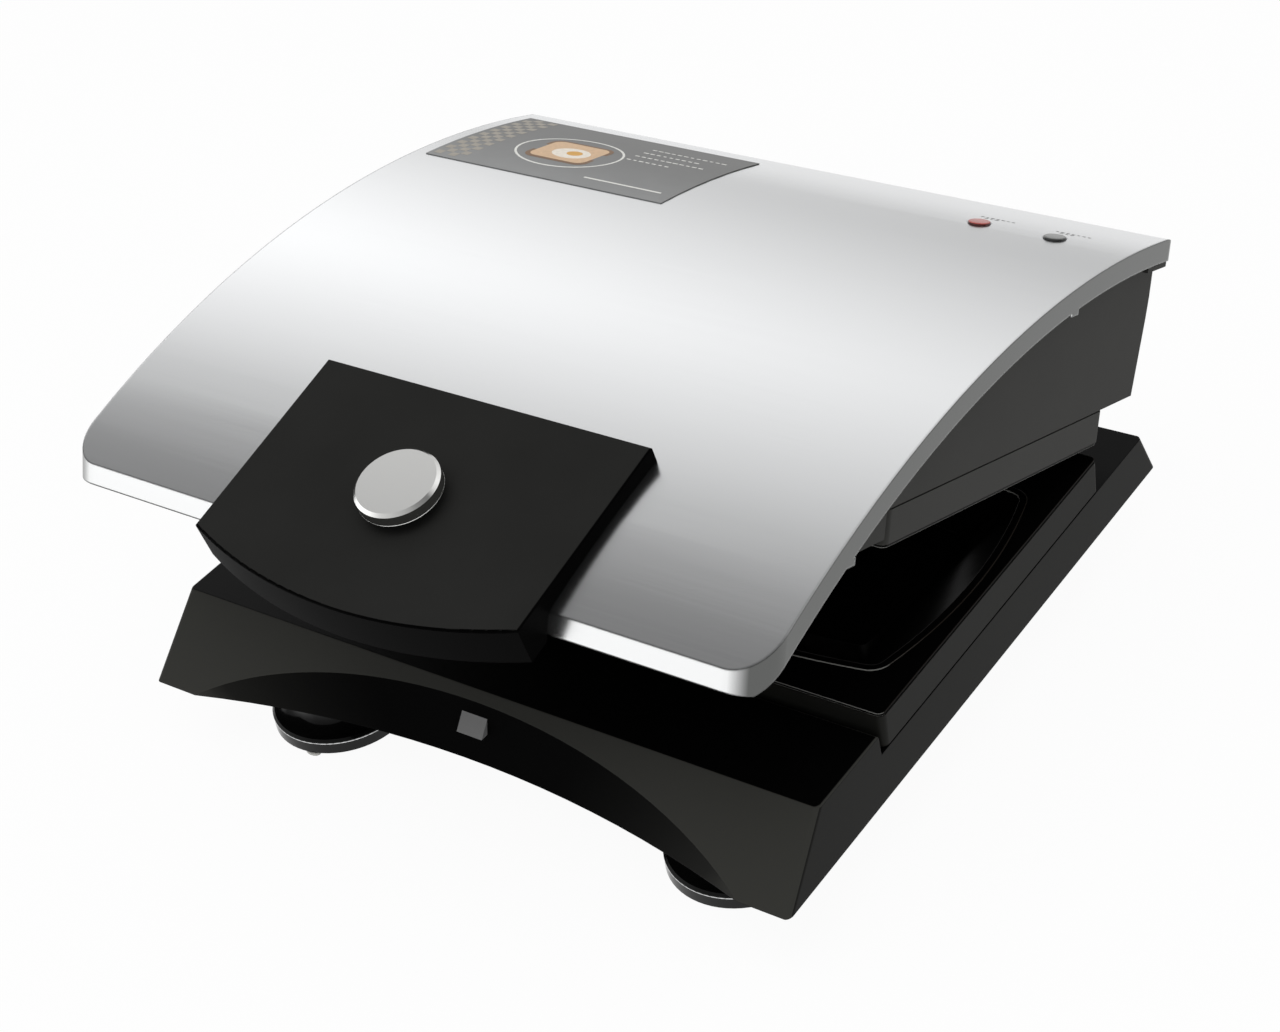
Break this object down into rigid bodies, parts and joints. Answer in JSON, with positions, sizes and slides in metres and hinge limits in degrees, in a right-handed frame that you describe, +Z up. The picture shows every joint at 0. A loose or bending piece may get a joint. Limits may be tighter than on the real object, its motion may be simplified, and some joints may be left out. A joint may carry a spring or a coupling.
{
  "type": "breakfast sandwich maker",
  "caption": "Hinged hot plate sandwich maker with an arched brushed steel lid, twin pocket plates, a front latch button and tall round feet.",
  "frame": {"origin": "on the floor under the middle of the base, midway between the four feet", "axes": "+Z up, front edge with the latch towards -Y, +X towards the right side seen from the front"},
  "size_m": [0.2608, 0.2814, 0.1437],
  "materials": {
    "black_plastic": "satin",
    "dark_plastic": "satin",
    "panel_plastic": "satin",
    "brushed_steel": "brushed",
    "polished_steel": "polished",
    "screw_steel": "zinc plated",
    "nonstick": "glossy non-stick coating",
    "aluminium_sheet": "mill",
    "rubber": "matt",
    "black_rubber": "matt",
    "grey_plastic": "satin",
    "red_lens": "clear",
    "clear_lens": "clear",
    "neon_glass": "clear",
    "label_film": "satin print",
    "spring_steel": "bright",
    "ceramic": "matt"
  },
  "bodies": {
    "base": {"base_shell": "black_plastic", "bottom_cover": "black_plastic", "bottom_cover_screws": "screw_steel", "feet": "black_plastic", "foot_pads": "rubber", "foot_screws": "screw_steel", "lower_tray": "dark_plastic", "lower_cooking_plate": "nonstick", "lower_plate_screws": "screw_steel", "lower_heating_element": "polished_steel", "lower_element_clips": "aluminium_sheet", "lower_heat_reflector": "aluminium_sheet", "lower_thermostat": "ceramic", "lower_thermal_fuse": "ceramic", "latch_catch": "grey_plastic", "terminal_block": "ceramic", "cord_inlet_bush": "black_rubber", "hinge_brackets": "screw_steel", "hinge_bracket_screws": "screw_steel", "hinge_pins": "polished_steel"},
    "lid": {"lid_cover": "brushed_steel", "lid_housing": "dark_plastic", "lid_hinge_arms": "screw_steel", "hinge_arm_screws": "screw_steel", "upper_tray": "dark_plastic", "upper_cooking_plate": "nonstick", "upper_plate_screws": "screw_steel", "upper_heating_element": "polished_steel", "upper_element_clips": "aluminium_sheet", "upper_heat_reflector": "aluminium_sheet", "upper_thermostat": "ceramic", "upper_thermal_fuse": "ceramic", "lamp_holder": "black_plastic", "indicator_neons": "neon_glass", "red_lamp_lens": "red_lens", "clear_lamp_lens": "clear_lens", "lid_label": "label_film", "latch_panel": "panel_plastic", "latch_panel_screws": "screw_steel", "latch_bracket": "screw_steel", "latch_bracket_screws": "screw_steel", "hook_pin": "polished_steel", "button_spring": "spring_steel"},
    "button": {"latch_button": "polished_steel", "button_stem": "black_plastic", "fork_pin": "polished_steel"},
    "hook": {"latch_hook": "black_plastic"}
  },
  "joints": [
    {"name": "lid_hinge", "type": "hinge", "parent": "base", "child": "lid", "pos_m": [0, 0.09293, 0.0572], "axis": [-1, 0, 0], "range_deg": [-20.5, 69.5]},
    {"name": "button_press", "type": "slide", "parent": "lid", "child": "button", "axis": [0, 0.2355, -0.9719], "range_m": [-0.0015, 0.0025], "stiffness_N_per_m": 2000, "deforming": ["button_spring"]},
    {"name": "hook_turn", "type": "hinge", "parent": "lid", "child": "hook", "pos_m": [0, -0.10213, 0.11924], "axis": [-1, 0, 0], "range_deg": [-13, 21.5]}
  ],
  "couplings": [
    {"joint": "hook_turn", "follows": "button_press", "rad_per_m": 147.06}
  ]
}
